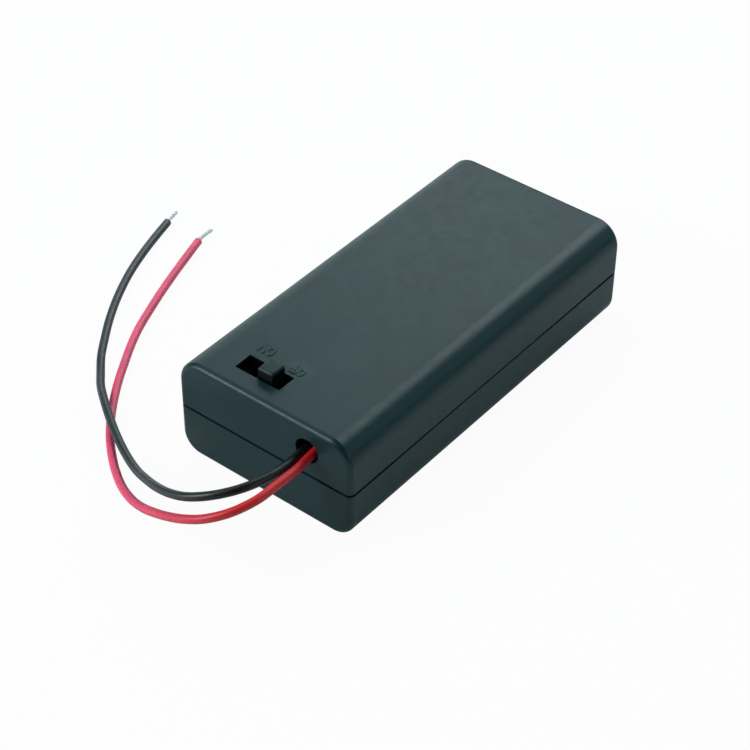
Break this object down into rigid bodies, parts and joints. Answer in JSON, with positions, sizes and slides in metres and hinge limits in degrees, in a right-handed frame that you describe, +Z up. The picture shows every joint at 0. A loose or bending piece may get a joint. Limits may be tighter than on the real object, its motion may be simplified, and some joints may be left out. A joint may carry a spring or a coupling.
{
  "type": "cylindrical cell holder",
  "caption": "Closed black plastic holder for cylindrical cells lying side by side, with a roof slide switch, a slide-off cover and stripped red and black leads.",
  "frame": {"origin": "centre of the cover's flat underside, which the holder rests on", "axes": "+X across the cells, +Y along the cells away from the switch and the leads, +Z up through the roof that carries the switch"},
  "size_m": [0.0747, 0.0872, 0.0199],
  "materials": {
    "case_plastic": "satin moulded black with a blue-green cast",
    "cover_plastic": "satin moulded black with a blue-green cast",
    "knob_plastic": "satin black",
    "blackened_steel": "black oxide",
    "insulating_board": "phenolic board",
    "spring_brass": "rolled strip",
    "tinned_metal": "tinned",
    "plated_steel": "nickel plated",
    "spring_steel": "nickel-plated spring wire",
    "red_insulation": "soft glossy insulation",
    "black_insulation": "soft glossy insulation",
    "tinned_copper": "tinned strands",
    "solder": "bright solder"
  },
  "bodies": {
    "holder": {"case": "case_plastic", "switch_frame": "blackened_steel", "switch_base": "insulating_board", "switch_terminal_on": "tinned_metal", "switch_terminal_common": "tinned_metal", "switch_terminal_off": "tinned_metal", "contact_plate_positive": "plated_steel", "contact_plate_negative": "plated_steel", "bridge_plate": "plated_steel", "spring_negative": "spring_steel", "spring_bridge": "spring_steel", "jumper_lead": "red_insulation", "red_lead": "red_insulation", "black_lead": "black_insulation", "red_lead_tip": "tinned_copper", "black_lead_tip": "tinned_copper", "solder_red_lead": "solder", "solder_jumper_switch": "solder", "solder_jumper_plate": "solder", "solder_black_lead": "solder"},
    "cover": {"battery_cover": "cover_plastic"},
    "knob": {"switch_slider": "knob_plastic", "switch_contact_clip": "spring_brass"}
  },
  "joints": [
    {"name": "cover_slide", "type": "slide", "parent": "holder", "child": "cover", "axis": [0, -1, 0], "range_m": [0, 0.007]},
    {"name": "switch_slide", "type": "slide", "parent": "holder", "child": "knob", "axis": [-1, 0, 0], "range_m": [0, 0.0027]}
  ]
}
